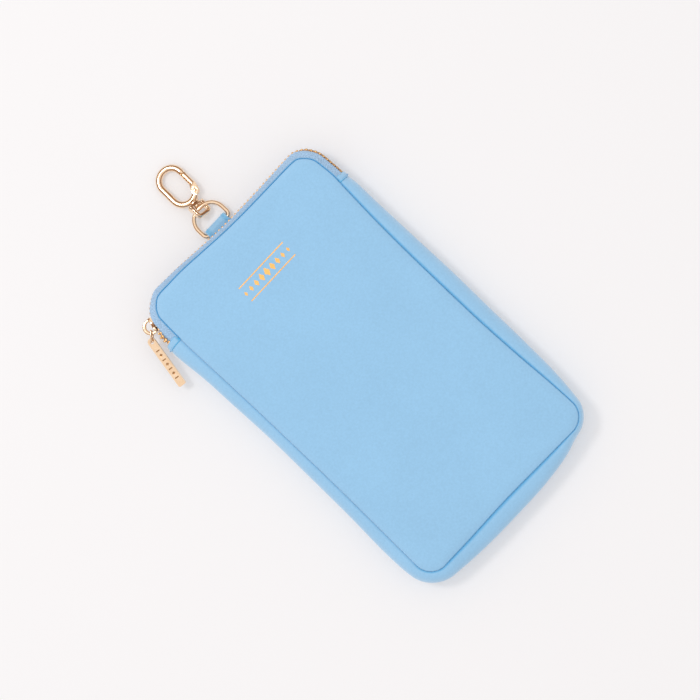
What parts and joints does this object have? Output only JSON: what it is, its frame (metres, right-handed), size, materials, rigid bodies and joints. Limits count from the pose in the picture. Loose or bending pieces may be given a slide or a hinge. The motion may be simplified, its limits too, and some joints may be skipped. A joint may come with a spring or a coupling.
{
  "type": "phone pouch",
  "caption": "Flat padded rectangular fabric pouch with rounded corners, a wrap-round metal zip with a pull bar, and a fabric loop carrying a D-ring and an oval swivel clip.",
  "frame": {"origin": "on the flat of the back panel, on the surface that the pouch lies on, midway between the side seams and midway between the top and bottom seams", "axes": "+X across the pouch to its right seen from the front, +Y along its length to the zip end, +Z out of the front panel"},
  "size_m": [0.1336, 0.2429, 0.0183],
  "materials": {
    "shell_fabric": "matt padded cotton",
    "foam": "soft foam sheet",
    "lining_fabric": "smooth woven lining",
    "binding_tape": "folded seam tape",
    "zip_tape": "woven zip tape",
    "zip_teeth": "polished plate",
    "gold_metal": "polished plate",
    "spring_steel": "drawn wire"
  },
  "bodies": {
    "pouch": {"back_panel": "shell_fabric", "back_foam": "foam", "back_lining": "lining_fabric", "back_binding": "binding_tape", "front_panel": "shell_fabric", "front_foam": "foam", "front_lining": "lining_fabric", "front_binding": "binding_tape", "gusset": "shell_fabric", "gusset_foam": "foam", "gusset_lining": "lining_fabric", "zip_tab_left": "shell_fabric", "zip_tab_right": "shell_fabric", "zip_tape_back": "zip_tape", "zip_teeth_back": "zip_teeth", "ring_loop": "shell_fabric"},
    "mouth": {"mouth_panel": "shell_fabric", "mouth_foam": "foam", "mouth_lining": "lining_fabric", "mouth_binding": "binding_tape", "zip_tape_front": "zip_tape", "zip_teeth_front": "zip_teeth"},
    "slider": {"slider_body": "gold_metal", "slider_bail": "gold_metal"},
    "link": {"pull_link": "gold_metal"},
    "bar": {"pull_bar": "gold_metal"},
    "ring": {"d_ring": "gold_metal"},
    "eye": {"swivel_eye": "gold_metal"},
    "clip": {"swivel_pin": "gold_metal", "clip_frame": "gold_metal", "gate_pin": "gold_metal"},
    "gate": {"clip_gate": "gold_metal", "gate_spring": "spring_steel"}
  },
  "joints": [
    {"name": "mouth_fold", "type": "hinge", "parent": "pouch", "child": "mouth", "pos_m": [0, 0.075, 0.018], "axis": [1, 0, 0], "range_deg": [0, 100], "deforming": ["zip_tape_front", "zip_teeth_front"]},
    {"name": "zip_run", "type": "hinge", "parent": "pouch", "child": "slider", "pos_m": [-0.0469, 0.0874, 0.009], "axis": [0, 0, -1], "range_deg": [0, 78], "deforming": ["zip_tape_back", "zip_teeth_back"]},
    {"name": "link_turn", "type": "hinge", "parent": "slider", "child": "link", "pos_m": [-0.06071, 0.08983, 0.009], "axis": [0, 0, 1], "range_deg": [-112, 2]},
    {"name": "bar_turn", "type": "hinge", "parent": "link", "child": "bar", "pos_m": [-0.06599, 0.08437, 0.009], "axis": [0, 0, 1], "range_deg": [-60, 2]},
    {"name": "ring_swing", "type": "hinge", "parent": "pouch", "child": "ring", "pos_m": [-0.0029, 0.10087, 0.0021], "axis": [1, 0, 0], "range_deg": [-60, 45]},
    {"name": "eye_swing", "type": "hinge", "parent": "ring", "child": "eye", "pos_m": [-0.0029, 0.11349, 0.00421], "axis": [1, 0, 0], "range_deg": [-50, 30]},
    {"name": "clip_swivel", "type": "hinge", "parent": "eye", "child": "clip", "pos_m": [-0.0029, 0.11349, 0.00421], "axis": [0, 0.9957, -0.0928], "continuous": true},
    {"name": "gate_open", "type": "hinge", "parent": "clip", "child": "gate", "pos_m": [0.00196, 0.12118, 0.0035], "axis": [0, 0.0928, 0.9957], "range_deg": [0, 20], "stiffness_Nm_per_rad": 0.008, "springref_deg": -28.65}
  ]
}
